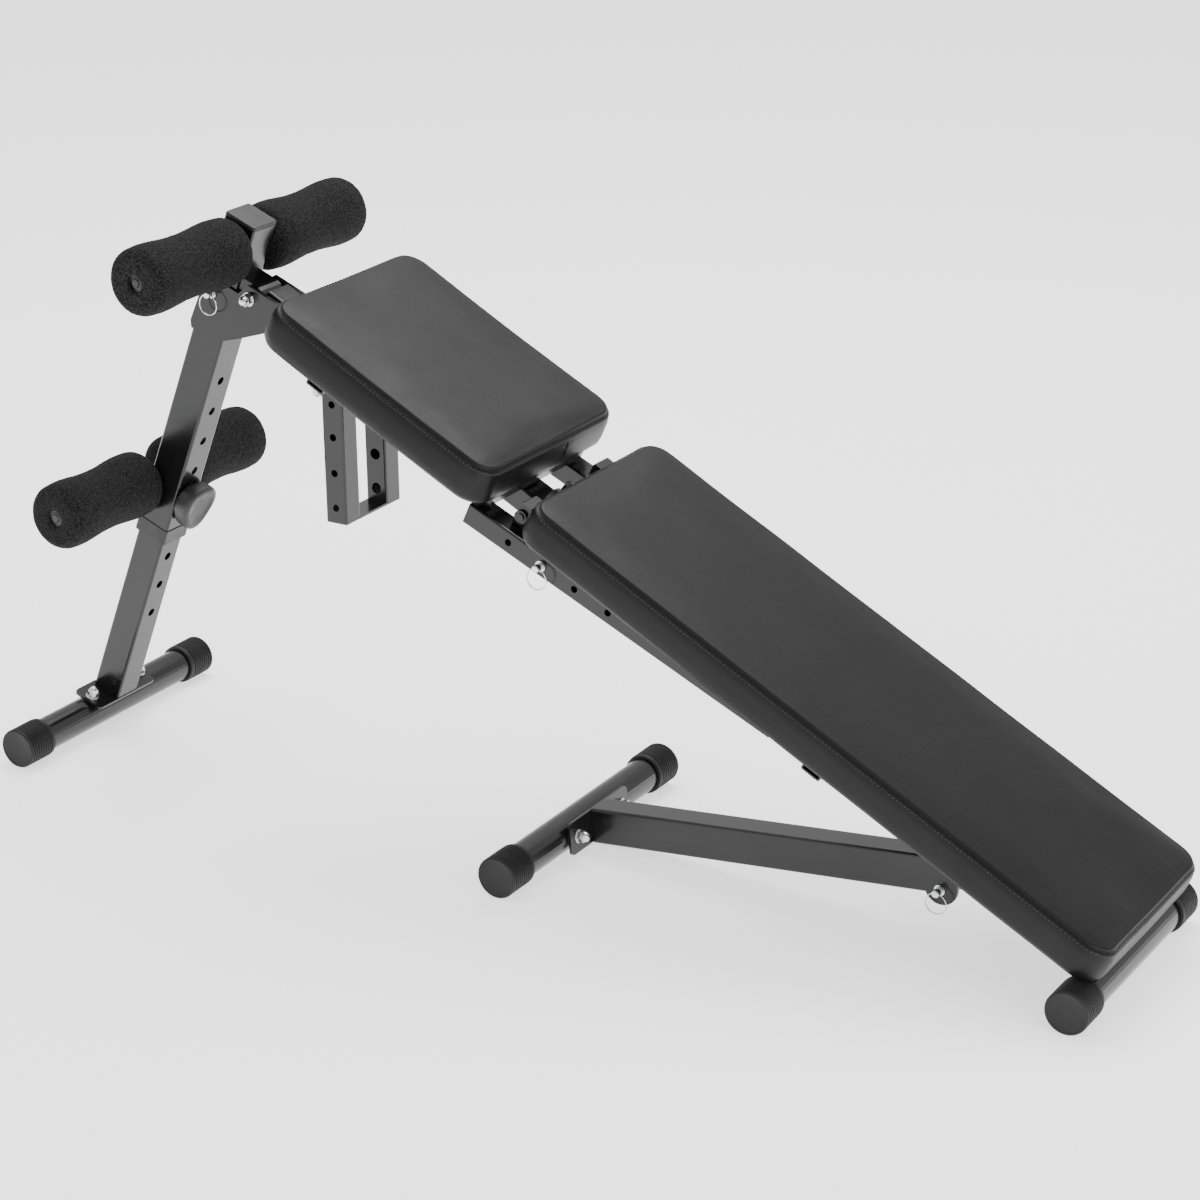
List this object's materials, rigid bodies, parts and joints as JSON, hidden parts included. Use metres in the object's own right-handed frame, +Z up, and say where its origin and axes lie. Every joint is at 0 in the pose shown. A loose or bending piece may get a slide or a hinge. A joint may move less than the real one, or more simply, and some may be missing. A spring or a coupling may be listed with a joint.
{
  "type": "decline sit up bench",
  "caption": "Decline sit up bench with padded seat and tilting backrest, foam leg rollers on a telescoping front post, folding rear leg and pull pins.",
  "frame": {"origin": "centre of the footprint box, on the ground", "axes": "+X along the bench towards the head end, +Z up, the pull pins are on the -Y side"},
  "size_m": [1.4595, 0.4064, 0.7078],
  "materials": {
    "paint": "gloss",
    "cover": "satin",
    "foam": "matt",
    "rubber": "matt",
    "plastic": "matt",
    "zinc": "bright zinc"
  },
  "bodies": {
    "bench_frame": {"front_pivot_bolt": "zinc", "gusset_far": "paint", "gusset_near": "paint", "hinge_lug": "paint", "hinge_rod": "paint", "lock_stub": "paint", "main_tube": "paint", "prop_bolt": "zinc", "rear_cap_far": "rubber", "rear_cap_near": "rubber", "rear_foot_tube": "paint", "rear_pivot_bolt": "zinc", "rear_plate_far": "paint", "rear_plate_near": "paint", "rear_saddle": "paint", "seat_bolt_far": "zinc", "seat_bolt_near": "zinc", "seat_front_bracket": "paint", "seat_pad": "cover", "seat_rear_bracket": "paint"},
    "front_post": {"post_outer": "paint", "post_cap": "plastic", "bushing": "plastic", "upper_axle": "paint", "lower_axle": "paint"},
    "lower_post": {"post_inner": "paint", "front_saddle": "paint", "front_foot_tube": "paint", "front_cap_near": "rubber", "front_cap_far": "rubber", "front_bolt_near": "zinc", "front_bolt_far": "zinc"},
    "rear_leg": {"leg_tube": "paint", "middle_saddle": "paint", "middle_foot_tube": "paint", "middle_cap_near": "rubber", "middle_cap_far": "rubber", "middle_bolt_near": "zinc", "middle_bolt_far": "zinc"},
    "backrest": {"back_pad": "cover", "rail_near": "paint", "rail_far": "paint", "tab_near": "paint", "tab_far": "paint", "back_front_bracket": "paint", "back_rear_bracket": "paint", "back_bolt_near": "zinc", "back_bolt_far": "zinc"},
    "hanging_prop": {"prop": "paint"},
    "knob_pin": {"knob": "plastic"},
    "upper_roller_near": {"upper_roller_near": "foam"},
    "upper_roller_far": {"upper_roller_far": "foam"},
    "lower_roller_near": {"lower_roller_near": "foam"},
    "lower_roller_far": {"lower_roller_far": "foam"},
    "front_pin": {"front_pin": "zinc"},
    "front_pin_ring": {"front_pin_ring": "zinc"},
    "rail_pin": {"rail_pin": "zinc"},
    "rail_pin_ring": {"rail_pin_ring": "zinc"},
    "rear_pin": {"rear_pin": "zinc"},
    "rear_pin_ring": {"rear_pin_ring": "zinc"}
  },
  "joints": [
    {"name": "front_leg_fold", "type": "hinge", "parent": "bench_frame", "child": "front_post", "pos_m": [-0.42125, 0, 0.60674], "axis": [0, -1, 0], "range_deg": [0, 30]},
    {"name": "post_slide", "type": "slide", "parent": "front_post", "child": "lower_post", "axis": [0.3709, 0, 0.9287], "range_m": [-0.088, 0.132]},
    {"name": "rear_leg_fold", "type": "hinge", "parent": "bench_frame", "child": "rear_leg", "pos_m": [0.4866, 0, 0.0995], "axis": [0, -1, 0], "range_deg": [0, 60]},
    {"name": "backrest_tilt", "type": "hinge", "parent": "bench_frame", "child": "backrest", "pos_m": [-0.00404, 0, 0.42877], "axis": [0, -1, 0], "range_deg": [0, 55]},
    {"name": "prop_swing", "type": "hinge", "parent": "bench_frame", "child": "hanging_prop", "pos_m": [-0.28725, 0, 0.541], "axis": [0, -1, 0], "range_deg": [-25, 45]},
    {"name": "upper_roller_near_spin", "type": "hinge", "parent": "front_post", "child": "upper_roller_near", "pos_m": [-0.4471, -0.1147, 0.66337], "axis": [0, 1, 0], "continuous": true},
    {"name": "upper_roller_far_spin", "type": "hinge", "parent": "front_post", "child": "upper_roller_far", "pos_m": [-0.4471, 0.1147, 0.66337], "axis": [0, 1, 0], "continuous": true},
    {"name": "lower_roller_near_spin", "type": "hinge", "parent": "front_post", "child": "lower_roller_near", "pos_m": [-0.60764, -0.10575, 0.34845], "axis": [0, 1, 0], "continuous": true},
    {"name": "lower_roller_far_spin", "type": "hinge", "parent": "front_post", "child": "lower_roller_far", "pos_m": [-0.60764, 0.10575, 0.34845], "axis": [0, 1, 0], "continuous": true},
    {"name": "knob_pull", "type": "slide", "parent": "front_post", "child": "knob_pin", "axis": [0.9287, 0, -0.3709], "range_m": [0, 0.01], "stiffness_N_per_m": 800, "springref_m": -0.004},
    {"name": "front_pin_pull", "type": "slide", "parent": "front_post", "child": "front_pin", "axis": [0, -1, 0], "range_m": [0, 0.025]},
    {"name": "front_pin_ring_swing", "type": "hinge", "parent": "front_pin", "child": "front_pin_ring", "pos_m": [-0.47733, -0.0351, 0.60653], "axis": [-1, 0, 0], "range_deg": [-5, 85]},
    {"name": "rail_pin_pull", "type": "slide", "parent": "backrest", "child": "rail_pin", "axis": [0, -1, 0], "range_m": [0, 0.025]},
    {"name": "rail_pin_ring_swing", "type": "hinge", "parent": "rail_pin", "child": "rail_pin_ring", "pos_m": [0.03131, -0.1185, 0.38219], "axis": [-1, 0, 0], "range_deg": [-5, 85]},
    {"name": "rear_pin_pull", "type": "slide", "parent": "bench_frame", "child": "rear_pin", "axis": [0, -1, 0], "range_m": [0, 0.025]},
    {"name": "rear_pin_ring_swing", "type": "hinge", "parent": "rear_pin", "child": "rear_pin_ring", "pos_m": [0.4896, -0.0343, 0.06], "axis": [-1, 0, 0], "range_deg": [-5, 85]}
  ]
}
